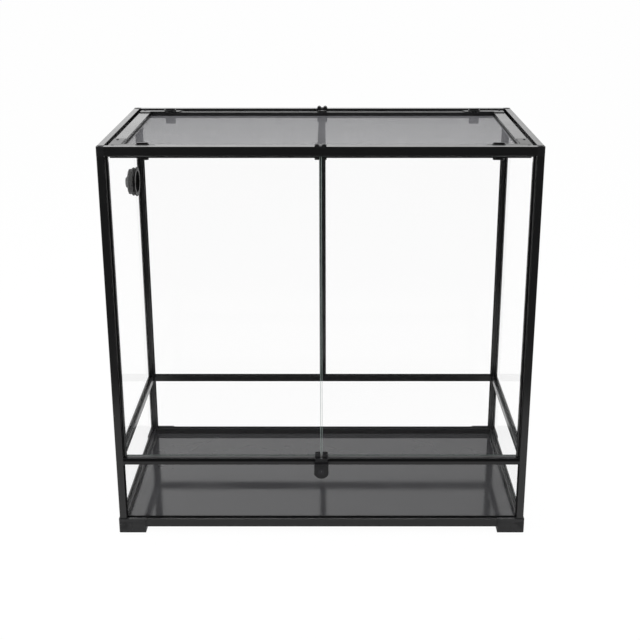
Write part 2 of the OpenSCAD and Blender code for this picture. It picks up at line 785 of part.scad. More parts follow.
// A turn knob: disc and grip above the screen frame, a stem through it and a cam below
module knob(right, rear) {
    disc_z = plate_top + slide_gap;
    color("#141415") at_corner(right, rear) translate([knob_inset, knob_set_in, 0]) {
        translate([0, 0, disc_z]) cylinder(h = knob_t, r = knob_r);
        block([-grip_l / 2 + grip_w / 2, -grip_w / 2, disc_z + knob_t],
              [grip_l / 2 - grip_w / 2, grip_w / 2, disc_z + knob_t + grip_h]);
        for (end = [-1, 1]) translate([end * (grip_l - grip_w) / 2, 0, disc_z + knob_t])
            cylinder(h = grip_h, r = grip_w / 2);
        translate([0, 0, cam_top]) cylinder(h = disc_z - cam_top, r = stem_r);
        block([-cam_l / 2, -cam_w / 2, cam_top - cam_h], [cam_l / 2, cam_w / 2, cam_top]);
    }
}

// The brace runs front to back under the screen and lies in two hooks
module brace() {
    reach = half_d - rail_d - hook_t - drop_gap;
    color("#4a4a4c") block([-brace_w / 2, -reach, brace_z0], [brace_w / 2, reach, brace_z1]);
}

module brace_hooks() {
    lip_z = frame_h - hook_lip;
    top_z = frame_h + hook_t;
    lobe_x = hook_w / 2 - lobe_r;
    color("#0f0f10") for (side = ["front", "rear"]) on_side(side) {
        block([-hook_w / 2, -hook_t, frame_h], [hook_w / 2, rail_d + hook_t, top_z]);
        block([-hook_w / 2, -hook_t, lip_z], [hook_w / 2, 0, frame_h]);
        block([-hook_w / 2, rail_d, brace_z0 - hook_t], [hook_w / 2, rail_d + hook_t, frame_h]);
        block([-hook_w / 2, rail_d, brace_z0 - hook_t], [hook_w / 2, rail_d + hook_foot, brace_z0]);
        for (end = [-1, 1]) intersection() {
            translate([end * lobe_x, -hook_t, frame_h]) rotate([-90, 0, 0])
                cylinder(h = rail_d + 2 * hook_t, r = lobe_r);
            block([-hook_w / 2, -hook_t, frame_h], [hook_w / 2, rail_d + hook_t, frame_h + lobe_r]);
        }
    }
}

// Places children drawn on the port's axis, with x measured in from the left face
module at_port() {
    translate([-half_w, port_y, port_z]) children();
}

// A disc between two distances along the port's axis
module disc(x0, x1, radius) {
    translate([x0, 0, 0]) rotate([0, 90, 0]) cylinder(h = x1 - x0, r = radius);
}

// A cone between two distances along the port's axis
module cone(x0, x1, r0, r1) {
    translate([x0, 0, 0]) rotate([0, 90, 0]) cylinder(h = x1 - x0, r1 = r0, r2 = r1);
}

module port_ring() {
    color("#1a1a1b") at_port() difference() {
        disc(pane_setback + glass_t, port_in, port_ring_r);
        disc(pane_setback, port_in + cut, port_tube_r + run_gap);
    }
}

module port_cup() {
    color("#2c2c2e") at_port() difference() {
        union() {
            disc(pane_setback - port_flange_t, pane_setback, port_cup_r);
            disc(port_out, pane_setback, port_step_r);
            disc(port_out + port_wall, port_in, port_tube_r);
        }
        disc(port_out + port_wall, port_in + cut, port_bore_r);
        disc(port_out - cut, port_out + port_wall + cut, pivot_r + run_gap);
        translate([0, 0, -cable_offset]) disc(port_out - cut, port_out + port_wall + cut, cable_hole_r);
    }
}

// The cover turns by its knob, which the cable hole cuts into
module port_cover() {
    back = port_out - slide_gap;
    face = back - port_cover_t;
    knob_end = face - port_knob_h;
    inside = port_out + port_wall + slide_gap;
    color("#3a3a3c") at_port() {
        difference() {
            union() {
                disc(face, back, port_cover_r);
                cone(face - port_flare_h, face, port_knob_r, port_knob_r + port_flare);
                disc(knob_end + port_knob_edge, face, port_knob_r);
                cone(knob_end, knob_end + port_knob_edge, port_knob_r - port_knob_edge, port_knob_r);
            }
            translate([0, 0, cable_offset]) disc(knob_end - cut, back + cut, cable_hole_r);
        }
        disc(back, inside, pivot_r);
        disc(inside, inside + pivot_head_t, pivot_r + pivot_head);
    }
}

foot(false, false);  // foot_front_left
foot(true, false);  // foot_front_right
foot(false, true);  // foot_rear_left
foot(true, true);  // foot_rear_right
post(false, false);  // post_front_left
post(true, false);  // post_front_right
post(false, true);  // post_rear_left
post(true, true);  // post_rear_right
bottom_rail("front");  // bottom_rail_front
bottom_rail("rear");  // bottom_rail_rear
bottom_rail("left");  // bottom_rail_left
bottom_rail("right");  // bottom_rail_right
mid_rail("front");  // mid_rail_front
mid_rail("rear");  // mid_rail_rear
mid_rail("left");  // mid_rail_left
mid_rail("right");  // mid_rail_right
top_rail("front");  // top_rail_front
top_rail("rear");  // top_rail_rear
top_rail("left");  // top_rail_left
top_rail("right");  // top_rail_right
top_corners();
ledges();
base_panel();
lower_pane("front");  // lower_pane_front
lower_pane("rear");  // lower_pane_rear
lower_pane("left");  // lower_pane_left
lower_pane("right");  // lower_pane_right
upper_pane("left");  // upper_pane_left
upper_pane("right");  // upper_pane_right
upper_panes_rear();
rear_mullion();
door_stop();
hinge_bushes();
door_glass(false);  // door_left_glass
door_stile(false);  // door_left_stile
door_pins(false);  // door_left_pins
door_clip(false);  // door_left_clip
door_glass(true);  // door_right_glass
door_stile(true);  // door_right_stile
door_pins(true);  // door_right_pins
door_clip(true);  // door_right_clip
latch_bracket();
lock_body();
lock_cylinder();
lock_bolt();
screen_bar("front");  // screen_bar_front
screen_bar("rear");  // screen_bar_rear
screen_bar("left");  // screen_bar_left
screen_bar("right");  // screen_bar_right
screen_corners();
screen_mesh();
knob(false, false);  // knob_front_left
knob(true, false);  // knob_front_right
knob(false, true);  // knob_rear_left
knob(true, true);  // knob_rear_right
brace();
brace_hooks();
port_ring();
port_cup();
port_cover();
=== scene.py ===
# %% [markdown]
# # A reptile terrarium
# A tall glass terrarium in a black frame: two glass doors over a fixed front pane, a glossy black
# floor panel, a mesh top that lifts off, and a small lock in the middle of the front. The measured
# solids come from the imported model. This lesson dresses them: it gives every surface its finish and
# models the small parts that a plain solid leaves out.

# %% Load the measured frame
import math

import bpy
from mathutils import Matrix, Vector


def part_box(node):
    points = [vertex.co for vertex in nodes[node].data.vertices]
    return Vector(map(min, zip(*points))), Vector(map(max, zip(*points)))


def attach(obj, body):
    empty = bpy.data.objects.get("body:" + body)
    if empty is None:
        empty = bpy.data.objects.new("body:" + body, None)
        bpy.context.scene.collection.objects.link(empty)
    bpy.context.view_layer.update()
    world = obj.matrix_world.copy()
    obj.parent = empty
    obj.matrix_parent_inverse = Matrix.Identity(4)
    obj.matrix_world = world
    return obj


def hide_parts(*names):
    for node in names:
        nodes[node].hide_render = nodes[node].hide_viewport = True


bpy.context.scene.view_settings.view_transform = "Standard"
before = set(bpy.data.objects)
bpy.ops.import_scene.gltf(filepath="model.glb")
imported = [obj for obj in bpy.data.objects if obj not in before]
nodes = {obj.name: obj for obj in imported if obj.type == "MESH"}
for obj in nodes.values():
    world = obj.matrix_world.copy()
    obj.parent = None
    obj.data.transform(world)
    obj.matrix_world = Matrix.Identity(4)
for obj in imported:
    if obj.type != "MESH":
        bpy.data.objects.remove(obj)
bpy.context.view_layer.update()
MM = 0.001

# %% [markdown]
# The photograph was taken by a level camera with its lens slid far down, so the posts stay upright.
# Every other view keeps the same slide, so here it is kept small enough that no view loses a part of
# the terrarium, and the camera tips down for the rest. It stands further back with a longer lens,
# which keeps the posts nearly upright.

# %% Camera
camera_data = bpy.data.cameras.new("front_camera")
camera_data.sensor_width = 36
camera_data.lens = 60
camera_data.shift_x = -0.0168
camera_data.shift_y = -0.125
camera = bpy.data.objects.new("front_camera", camera_data)
bpy.context.scene.collection.objects.link(camera)
camera.location = (0.0207, -2.35, 1.34)
camera.rotation_euler = (math.radians(90 - 16.97), 0, 0)
bpy.context.scene.camera = camera
print("camera", tuple(round(v, 3) for v in camera.location))

# %% [markdown]
# Two helpers serve every finish. A colour is written as sRGB hex, as a painter picks it, while
# Blender's sockets take linear numbers, so one function converts it. Nodes could be placed by hand in
# the shader editor, but a script has to add, set and link each one, and the other function does that.

# %% Helpers for materials
def linear(code):
    """A colour written as sRGB hex, as linear numbers."""
    parts = [int(code[i:i + 2], 16) / 255 for i in (1, 3, 5)]
    return [p / 12.92 if p <= 0.04045 else ((p + 0.055) / 1.055) ** 2.4 for p in parts] + [1.0]


def add_node(tree, kind, settings=None, values=None, links=None):
    """Adds one node, sets its properties and socket values, and links its inputs."""
    made = tree.nodes.new(kind)
    for name, value in (settings or {}).items():
        setattr(made, name, value)
    for name, value in (values or {}).items():
        made.inputs[name].default_value = value
    for name, source in (links or {}).items():
        tree.links.new(source, made.inputs[name])
    return made


def new_material(name):
    """An empty node material with its output node."""
    material = bpy.data.materials.new(name)
    material.use_nodes = True
    tree = material.node_tree
    tree.nodes.clear()
    return material, tree, tree.nodes.new("ShaderNodeOutputMaterial")


print("white is", linear("#ffffff"))

# %% [markdown]
# Black and clear things show mostly what they mirror, so the room matters more than the lamps. What
# the camera, a shiny face or a clear pane sees is white, as in a studio with white walls, while the
# part of the room behind the camera is dim. That is why the upright black faces stay dark and the
# level ones turn light grey. The right wall is a little darker than the left one, and shows so in the
# floor panel. A picture of a real studio could do this, but a few nodes on the direction of the ray
# are plainer, and they stay in place in every view.

# %% The room
def studio_rays(tree):
    """1 for rays that see the studio as it looks: from the camera, a shiny face or a clear pane."""
    path = add_node(tree, "ShaderNodeLightPath")
    first = add_node(tree, "ShaderNodeMath", {"operation": "MAXIMUM"}, None,
                     {0: path.outputs["Is Camera Ray"], 1: path.outputs["Is Glossy Ray"]})
    return add_node(tree, "ShaderNodeMath", {"operation": "MAXIMUM"}, None,
                    {0: first.outputs[0], 1: path.outputs["Is Transmission Ray"]}), path


world = bpy.data.worlds.new("studio")
bpy.context.scene.world = world
world.use_nodes = True
room = world.node_tree
room.nodes.clear()
looks, room_path = studio_rays(room)
way = add_node(room, "ShaderNodeTexCoord")
parts = add_node(room, "ShaderNodeSeparateXYZ", None, None, {0: way.outputs["Generated"]})
behind = add_node(room, "ShaderNodeMapRange", {"interpolation_type": "SMOOTHSTEP"},
                  {"From Min": -0.75, "From Max": 0.15, "To Min": 0.05, "To Max": 1.0},
                  {"Value": parts.outputs["Y"]})
right_side = add_node(room, "ShaderNodeMapRange", {"interpolation_type": "SMOOTHSTEP"},
                      {"From Min": -0.3, "From Max": 0.4, "To Min": 1.0, "To Max": 0.72},
                      {"Value": parts.outputs["X"]})
shaded = add_node(room, "ShaderNodeMath", {"operation": "MULTIPLY"}, None,
                  {0: behind.outputs[0], 1: right_side.outputs[0]})
mirrored = add_node(room, "ShaderNodeMath", {"operation": "MAXIMUM"}, None,
                    {0: shaded.outputs[0], 1: room_path.outputs["Is Camera Ray"]})
level = add_node(room, "ShaderNodeMix", {"data_type": "FLOAT"}, {2: 0.55},
                 {0: looks.outputs[0], 3: mirrored.outputs[0]})
backdrop = add_node(room, "ShaderNodeBackground", None, {"Color": (1, 1, 1, 1)},
                    {"Strength": level.outputs[0]})
add_node(room, "ShaderNodeOutputWorld", None, None, {"Surface": backdrop.outputs[0]})
print("room nodes", len(room.nodes))

# %% [markdown]
# The floor is a pale sheet of paper. Paper alone would render grey and uneven, so a glow is mixed over
# it for the rays that look at the studio, and the little paper that is left keeps the terrarium's
# shadow. A shiny face sees it nearly black far in front, half bright close by and white behind, so
# the low posts and rails look lighter than the high ones.

# %% The floor
floor_material, tree, out = new_material("matt_white_floor_paper")
floor_looks, floor_path = studio_rays(tree)
paper = add_node(tree, "ShaderNodeBsdfDiffuse", None, {"Color": linear("#e6e6e6")})
spot = add_node(tree, "ShaderNodeTexCoord")
spot_parts = add_node(tree, "ShaderNodeSeparateXYZ", None, None, {0: spot.outputs["Object"]})
close_by = add_node(tree, "ShaderNodeMapRange", {"interpolation_type": "SMOOTHSTEP"},
                    {"From Min": -1.05, "From Max": -0.75, "To Min": 0.03, "To Max": 0.45},
                    {"Value": spot_parts.outputs["Y"]})
at_back = add_node(tree, "ShaderNodeMapRange", {"interpolation_type": "SMOOTHSTEP"},
                   {"From Min": -0.2, "From Max": 0.4, "To Min": 0.0, "To Max": 0.57},
                   {"Value": spot_parts.outputs["Y"]})
in_front = add_node(tree, "ShaderNodeMath", {"operation": "ADD"}, None,
                    {0: close_by.outputs[0], 1: at_back.outputs[0]})
mirror_floor = add_node(tree, "ShaderNodeMix", {"data_type": "FLOAT"}, {2: 1.02},
                        {0: floor_path.outputs["Is Glossy Ray"], 3: in_front.outputs[0]})
glow = add_node(tree, "ShaderNodeEmission", None, {"Color": (1, 1, 1, 1)},
                {"Strength": mirror_floor.outputs[0]})
share = add_node(tree, "ShaderNodeMath", {"operation": "MULTIPLY"}, {1: 0.95},
                 {0: floor_looks.outputs[0]})
both = add_node(tree, "ShaderNodeMixShader", None, None,
                {0: share.outputs[0], 1: paper.outputs[0], 2: glow.outputs[0]})
tree.links.new(both.outputs[0], out.inputs["Surface"])
floor_size = 60
floor_drop = 0.5 * MM                        # the soles of the feet would share its plane
bpy.ops.object.select_all(action="DESELECT")
bpy.ops.mesh.primitive_plane_add(size=floor_size, location=(0, 0, -floor_drop))
floor = bpy.context.object
floor.name = "studio_floor"
floor.data.materials.append(floor_material)
print("floor", floor_size, "m wide")

# %% [markdown]
# Three large soft lamps light the terrarium: one above it and one on each side. Small lamps would
# leave hard shadows and hot spots, which a clear pane and a satin bar show at once. The panes would
# mirror the lamp above as a bright rectangle, so shiny faces don't see it.

# %% Lamps
def soft_lamp(name, place, aim, width, height, watts):
    """A large area lamp at place that faces aim."""
    data = bpy.data.lights.new(name, "AREA")
    data.shape = "RECTANGLE"
    data.size, data.size_y, data.energy = width, height, watts
    lamp = bpy.data.objects.new(name, data)
    bpy.context.scene.collection.objects.link(lamp)
    lamp.location = place
    lamp.rotation_euler = (Vector(aim) - Vector(place)).to_track_quat("-Z", "Y").to_euler()
    return lamp


top_lamp = soft_lamp("top_softbox", (0, 0.1, 2.9), (0, 0, 0.4), 2.6, 1.8, 34)
top_lamp.visible_glossy = False
soft_lamp("left_softbox", (-2.3, -1.4, 1.7), (0, 0, 0.5), 1.2, 2.0, 22)
soft_lamp("right_softbox", (2.5, -1.0, 1.5), (0, 0, 0.5), 1.0, 1.8, 12)

# %% [markdown]
# The posts and rails are extruded aluminium, anodised satin black. Anodising leaves the metal's fine
# die lines along the bar, and a thin clear oxide that shines at a low angle. A flat black would look
# painted, so the base is near black and the shine comes from a coat over it. The die lines are 0.4 mm
# apart, drawn a little coarser than the real ones so that they show, and clouds about 70 mm across
# make the sheen uneven. The mid and bottom rails are a little greyer, with a thinner coat.

# %% Anodised aluminium
die_gap = 0.4 * MM


def anodised(name, along, colour, coat=1.0, roughness=0.34):
    """Satin black anodised extrusion with die lines along one axis."""
    material, tree, out = new_material(name)
    place = add_node(tree, "ShaderNodeTexCoord")
    stretch = [1.0, 1.0, 1.0]
    stretch["XYZ".index(along)] = 0.012
    lay = add_node(tree, "ShaderNodeMapping", None, {"Scale": stretch},
                   {"Vector": place.outputs["Object"]})
    lines = add_node(tree, "ShaderNodeTexNoise", None,
                     {"Scale": 1 / die_gap, "Detail": 2.0, "Roughness": 0.6},
                     {"Vector": lay.outputs[0]})
    cloud = add_node(tree, "ShaderNodeTexNoise", None, {"Scale": 14.0, "Detail": 3.0},
                     {"Vector": place.outputs["Object"]})
    rough = add_node(tree, "ShaderNodeMapRange", None,
                     {"From Min": 0.3, "From Max": 0.7, "To Min": roughness - 0.05,
                      "To Max": roughness + 0.07},
                     {"Value": cloud.outputs["Fac"]})
    tint = add_node(tree, "ShaderNodeMix", {"data_type": "RGBA"},
                    {"A": linear(colour), "B": [c * 1.5 + 0.001 for c in linear(colour)[:3]] + [1]},
                    {"Factor": lines.outputs["Fac"]})
    ridges = add_node(tree, "ShaderNodeBump", None, {"Strength": 0.12, "Distance": 0.0002},
                      {"Height": lines.outputs["Fac"]})
    shader = add_node(tree, "ShaderNodeBsdfPrincipled", None,
                      {"IOR": 1.5, "Coat Weight": coat, "Coat Roughness": 0.12, "Coat IOR": 1.5},
                      {"Base Color": tint.outputs[2], "Roughness": rough.outputs[0],
                       "Normal": ridges.outputs[0]})
    tree.links.new(shader.outputs[0], out.inputs["Surface"])
    return material


along_x = anodised("anodised_aluminium_along_x", "X", "#0b0b0c")
along_y = anodised("anodised_aluminium_along_y", "Y", "#0b0b0c")
along_z = anodised("anodised_aluminium_along_z", "Z", "#0b0b0c")
low_x = anodised("anodised_aluminium_low_along_x", "X", "#161617", 0.35)
low_y = anodised("anodised_aluminium_low_along_y", "Y", "#161617", 0.35)
print("anodised", [m.name for m in (along_x, along_y, along_z, low_x, low_y)])

# %% [markdown]
# Feet, corner blocks, knobs, hooks and the cable port are moulded in black ABS from a spark-eroded
# mould, which leaves a fine even grain of about 0.3 mm and a soft sheen. A grain that fine could be
# modelled, but a bump from a noise texture shows them with no faces. The knobs come from a polished
# mould and the port from a rough one. The seals and strips are extruded rubber, which has the same
# kind of grain, coarser and more matt, so one function makes them all.

# %% Moulded plastic and rubber
def moulded(name, colour, roughness=0.42, grain=0.3, depth=0.25, ior=1.5):
    """Plastic or rubber with a fine grain, whose size is given in millimetres."""
    material, tree, out = new_material(name)
    place = add_node(tree, "ShaderNodeTexCoord")
    pits = add_node(tree, "ShaderNodeTexNoise", None, {"Scale": 1 / (grain * MM), "Detail": 2.0},
                    {"Vector": place.outputs["Object"]})
    cloud = add_node(tree, "ShaderNodeTexNoise", None, {"Scale": 40.0, "Detail": 2.0},
                     {"Vector": place.outputs["Object"]})
    rough = add_node(tree, "ShaderNodeMapRange", None,
                     {"From Min": 0.3, "From Max": 0.7, "To Min": roughness - 0.05,
                      "To Max": roughness + 0.08},
                     {"Value": cloud.outputs["Fac"]})
    tint = add_node(tree, "ShaderNodeMix", {"data_type": "RGBA"},
                    {"A": [c * 0.8 for c in linear(colour)[:3]] + [1],
                     "B": [c * 1.25 for c in linear(colour)[:3]] + [1]},
                    {"Factor": cloud.outputs["Fac"]})
    grainy = add_node(tree, "ShaderNodeBump", None, {"Strength": depth, "Distance": 0.0001},
                      {"Height": pits.outputs["Fac"]})
    shader = add_node(tree, "ShaderNodeBsdfPrincipled", None, {"IOR": ior},
                      {"Base Color": tint.outputs[2], "Roughness": rough.outputs[0],
                       "Normal": grainy.outputs[0]})
    tree.links.new(shader.outputs[0], out.inputs["Surface"])
    return material


abs_black = moulded("moulded_abs_black", "#19191b")
abs_foot = moulded("moulded_abs_charcoal", "#2a2a2b", 0.40)
abs_port = moulded("moulded_abs_rough_black", "#0d0d0e", 0.45, ior=1.38)
abs_knob = moulded("moulded_abs_polished_black", "#151516", 0.15, 0.3, 0.05)
seal_rubber = moulded("extruded_rubber_black", "#101011", 0.62, 0.5, 0.15)
# Very dark and matt, with a low IOR so it mirrors little: the painted shade strip on the mid rail.
sill_shade_rubber = moulded("matt_black_rubber_painted_shade", "#0a0a0b", 0.72, 0.5, 0.15, 1.22)
print("plastics", [m.name for m in (abs_black, abs_foot, abs_port, abs_knob)])
print("rubbers", [m.name for m in (seal_rubber, sill_shade_rubber)])

# %% [markdown]
# The panes are clear float glass. Seen face on, glass passes nearly all light and mirrors a little,
# more at a low angle. A glass shader would bend what lies behind a thin sheet and cast a dark shadow.
# A see-through shader with a thin mirror over it does neither, and it lets the lamps through.

# %% Float glass
def float_glass(name):
    """Clear glass for a pane's faces."""
    material, tree, out = new_material(name)
    clear = add_node(tree, "ShaderNodeBsdfTransparent", None, {"Color": (1, 1, 1, 1)})
    mirror = add_node(tree, "ShaderNodeBsdfGlossy", None, {"Color": (1, 1, 1, 1), "Roughness": 0.0})
    angle = add_node(tree, "ShaderNodeLayerWeight", None, {"Blend": 0.5})
    steep = add_node(tree, "ShaderNodeMath", {"operation": "POWER"}, {1: 5.0},
                     {0: angle.outputs["Facing"]})
    shine = add_node(tree, "ShaderNodeMapRange", None, {"To Min": 0.01, "To Max": 0.12},
                     {"Value": steep.outputs[0]})
    both = add_node(tree, "ShaderNodeMixShader", None, None,
                    {0: shine.outputs[0], 1: clear.outputs[0], 2: mirror.outputs[0]})
    tree.links.new(both.outputs[0], out.inputs["Surface"])
    return material


glass = float_glass("clear_float_glass")
print("glass", glass.name)

# %% [markdown]
# A polished edge looks along the sheet, so it shows the iron in the glass as a grey green. It could be
# real depth of colour inside the glass, but a tinted solid face gives the same line from every side.
# The upper and lower edges of a door stand in the rails' shade, so they get a darker tint.

# %% Polished glass edges
def polished_edge(name, dark, pale):
    """The green grey edge of a glass sheet, seen between two tints."""
    material, tree, out = new_material(name)
    place = add_node(tree, "ShaderNodeTexCoord")
    streaks = add_node(tree, "ShaderNodeTexNoise", None, {"Scale": 60.0, "Detail": 2.0},
                       {"Vector": place.outputs["Object"]})
    tint = add_node(tree, "ShaderNodeMix", {"data_type": "RGBA"},
                    {"A": linear(dark), "B": linear(pale)}, {"Factor": streaks.outputs["Fac"]})
    shader = add_node(tree, "ShaderNodeBsdfPrincipled", None, {"Roughness": 0.12, "IOR": 1.5},
                      {"Base Color": tint.outputs[2]})
    tree.links.new(shader.outputs[0], out.inputs["Surface"])
    return material


glass_edge = polished_edge("polished_glass_edge", "#8b9894", "#a9b5b1")
shaded_edge = polished_edge("polished_glass_edge_in_shade", "#404644", "#4d5452")
print("edges", glass_edge.name, shaded_edge.name)

# %% [markdown]
# The floor panel is a sheet of black acrylic with a high polish. It mirrors the posts and the room,
# and the little haze in it is the fine scratching of a wiped surface. An even roughness would look
# like new glass, so wipe marks about 110 mm across vary it.

# %% Polished black acrylic
acrylic, tree, out = new_material("polished_black_acrylic")
place = add_node(tree, "ShaderNodeTexCoord")
wipes = add_node(tree, "ShaderNodeTexNoise", None, {"Scale": 9.0, "Detail": 4.0, "Distortion": 0.6},
                 {"Vector": place.outputs["Object"]})
haze = add_node(tree, "ShaderNodeMapRange", None,
                {"From Min": 0.3, "From Max": 0.7, "To Min": 0.06, "To Max": 0.11},
                {"Value": wipes.outputs["Fac"]})
depth = add_node(tree, "ShaderNodeMix", {"data_type": "RGBA"},
                 {"A": linear("#363638"), "B": linear("#3e3e40")}, {"Factor": wipes.outputs["Fac"]})
shader = add_node(tree, "ShaderNodeBsdfPrincipled", None, {"IOR": 1.6},
                  {"Base Color": depth.outputs[2], "Roughness": haze.outputs[0]})
tree.links.new(shader.outputs[0], out.inputs["Surface"])
print("floor panel", acrylic.name)

# %% [markdown]
# The pins and the bolt are steel under bright nickel, with turning or brushing marks. The key
# cylinder and the screws have the same marks under black nickel, so only their edges and slots catch
# the light. The marks are a third of a millimetre wide and could be a bump, but on parts this small a
# varied roughness shows them better.

# %% Plated steel
mark_scale = 3000.0


def plated(name, dark, pale):
    """Steel with fine turning marks under a thin plating."""
    material, tree, out = new_material(name)
    place = add_node(tree, "ShaderNodeTexCoord")
    marks = add_node(tree, "ShaderNodeTexNoise", None, {"Scale": mark_scale, "Detail": 2.0},
                     {"Vector": place.outputs["Object"]})
    worn = add_node(tree, "ShaderNodeMapRange", None, {"To Min": 0.24, "To Max": 0.42},
                    {"Value": marks.outputs["Fac"]})
    tint = add_node(tree, "ShaderNodeMix", {"data_type": "RGBA"},
                    {"A": linear(dark), "B": linear(pale)}, {"Factor": marks.outputs["Fac"]})
    shader = add_node(tree, "ShaderNodeBsdfPrincipled", None, {"Metallic": 1.0},
                      {"Base Color": tint.outputs[2], "Roughness": worn.outputs[0]})
    tree.links.new(shader.outputs[0], out.inputs["Surface"])
    return material


steel = plated("nickel_plated_steel", "#8f9193", "#a9abad")
black_steel = plated("black_nickel_plated_steel", "#3a3a3c", "#58585b")
print("steels", steel.name, black_steel.name)

# %% [markdown]
# Each measured solid takes one of these finishes. They could be set one by one, but the names of the
# solids say what they are, so a few tests on the name do it. A rail's die lines run along the rail.

# %% Finishes for the measured solids
def paint(name, material):
    """Gives a measured solid its finish."""
    data = nodes[name].data
    data.materials.clear()
    data.materials.append(material)


for name in nodes:
    if name.startswith("post") or name in ("rear_mullion", "door_left_stile", "door_right_stile"):
        paint(name, along_z)
    elif name.startswith("bottom_rail") or name.startswith("mid_rail"):
        paint(name, low_x if name.endswith(("front", "rear")) else low_y)
    elif name.startswith(("top_rail", "screen_bar")):
        paint(name, along_x if name.endswith(("front", "rear")) else along_y)
    elif name.startswith("foot"):
        paint(name, abs_foot)
    elif name.startswith("port"):
        paint(name, abs_port)
    elif name.startswith("knob") or name == "screen_corners":
        paint(name, abs_knob)
    elif name in ("ledges", "brace"):
        paint(name, along_y)
    elif "pane_" in name or name.endswith("_glass") or name.startswith("upper_pane"):
        paint(name, glass)
    elif name == "base_panel":
        paint(name, acrylic)
    elif name in ("door_left_pins", "door_right_pins", "lock_bolt"):
        paint(name, steel)
    elif name == "lock_cylinder":
        paint(name, black_steel)
    elif name == "door_stop":
        paint(name, seal_rubber)
    else:
        paint(name, abs_black)
print("painted", len(nodes))

# %% [markdown]
# No real edge is perfectly sharp: a die leaves a small radius along an extrusion, and a mould leaves
# one on plastic. A thin bright line along each edge is what tells the eye so. The measured solids
# keep their shape, so the rounding is three live modifiers: their loose triangles are welded, each
# flat area becomes one face again, and the edges are bevelled.

# %% Rounded edges on the measured solids
flat_angle = math.radians(0.5)
weld_gap = 0.002 * MM


def soften(name, width, steps=2):
    """Rounds a measured solid's edges without touching its mesh."""
    solid = nodes[name]
    weld = solid.modifiers.new("weld", "WELD")
    weld.merge_threshold = weld_gap
    flatten = solid.modifiers.new("flatten", "DECIMATE")
    flatten.decimate_type = "DISSOLVE"
    flatten.angle_limit = flat_angle
    bevel = solid.modifiers.new("round", "BEVEL")
    bevel.width = width
    bevel.segments = steps
    bevel.limit_method = "ANGLE"
    bevel.angle_limit = math.radians(40)


edge_width = {"post": 0.5, "top_rail": 0.4, "mid_rail": 0.4, "bottom_rail": 0.4, "top_corners": 0.5,
              "screen_bar": 0.5, "screen_corners": 0.35, "rear_mullion": 0.4, "brace": 0.5,
              "lock_body": 0.8, "latch_bracket": 0.4, "port": 0.5, "door_left_clip": 0.4,
              "door_right_clip": 0.4, "base_panel": 0.3}
for start, width in edge_width.items():
    for name in nodes:
        if name.startswith(start):
            soften(name, width * MM)
print("softened", sum(1 for name in nodes if nodes[name].modifiers))

# %% [markdown]
# The small parts start as a block or a disc, added at its size and place. Its place is then given to
# the mesh, so that the object itself stays at the origin like the measured ones. An operator acts on
# all that is selected, so a piece is picked alone first.

# %% Picking and settling a piece
def pick(piece):
    """Selects this piece alone and makes it the active one."""
    bpy.ops.object.select_all(action="DESELECT")
    piece.select_set(True)
    bpy.context.view_layer.objects.active = piece


def settle(piece):
    """Gives a piece's place, turn and scale to its mesh."""
    pick(piece)
    bpy.ops.object.transform_apply(location=True, rotation=True, scale=True)


print("helpers: pick, settle")

# %% [markdown]
# Most of the small parts are blocks with rounded edges. The rounding could be left to a live modifier,
# but an applied bevel can be cut and joined further.

# %% Blocks
def round_edges(piece, width, steps=2):
    """Rounds a new piece's sharp edges."""
    bevel = piece.modifiers.new("round", "BEVEL")
    bevel.width = width
    bevel.segments = steps
    bevel.limit_method = "ANGLE"
    bevel.angle_limit = math.radians(30)
    pick(piece)
    bpy.ops.object.modifier_apply(modifier="round")
    bpy.ops.object.shade_smooth_by_angle(angle=math.radians(40))


def block(name, low, high, soft, steps=2):
    """A block between two corners, with its edges rounded."""
    bpy.ops.object.select_all(action="DESELECT")
    middle = [(a + b) / 2 for a, b in zip(low, high)]
    bpy.ops.mesh.primitive_cube_add(size=1, location=middle, scale=[b - a for a, b in zip(low, high)])
    piece = bpy.context.object
    piece.name = name
    settle(piece)
    round_edges(piece, soft, steps)
    return piece


print("helpers: round_edges, block")

# %% [markdown]
# Every finished piece gets its material and the moving part that carries it. Where it stands for a
# measured solid, that solid is hidden. Pieces that always move together are joined into one.

# %% Fitting and joining pieces
def fit(piece, body, slot, material, *replaced):
    """Gives a piece its finish and the body it moves with, and hides the solids it stands for."""
    piece.data.materials.clear()
    piece.data.materials.append(material)
    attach(piece, body)
    if replaced:
        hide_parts(*replaced)


def join(name, parts):
    """Joins pieces into one."""
    pick(parts[0])
    for part in parts[1:]:
        part.select_set(True)
    bpy.ops.object.join()
    parts[0].name = name
    return parts[0]


def size(piece):
    """A piece's width, depth and height in metres."""
    return [round(v, 4) for v in piece.dimensions]


print("helpers: fit, join, size")

# %% [markdown]
# Each door is a sheet of 5 mm glass whose edges are ground to a small bevel, the arris, and polished.
# From the front the two arrises beside the gap read as one fine grey line. The measured sheet has
# square edges, so a new one with its arris stands for it.

# %% Door panes
arris = 0.9 * MM
for side in ("left", "right"):
    low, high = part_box(f"door_{side}_glass")
    pane = block(f"door_{side}_pane", low, high, arris, 1)
    fit(pane, f"door_{side}", "glass", glass, f"door_{side}_glass")
    pane.data.materials.append(glass_edge)
    pane.data.materials.append(shaded_edge)
    for face in pane.data.polygons:
        face.material_index = 2 if abs(face.normal.z) > 0.1 else int(abs(face.normal.y) < 0.99)
    bpy.ops.object.shade_flat()
    print(pane.name, size(pane))

# %% [markdown]
# The top is a fine insect net of coated wire, about fourteen wires to 25 mm. From a low angle it
# closes up to an even grey. A texture can't do that from every side, so the wires are modelled: one
# six-sided wire each way, repeated by an Array modifier, the second layer lying on the first.

# %% The net
net_low, net_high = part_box("screen_mesh")
net_pitch = 1.8 * MM
wire_r = 0.135 * MM


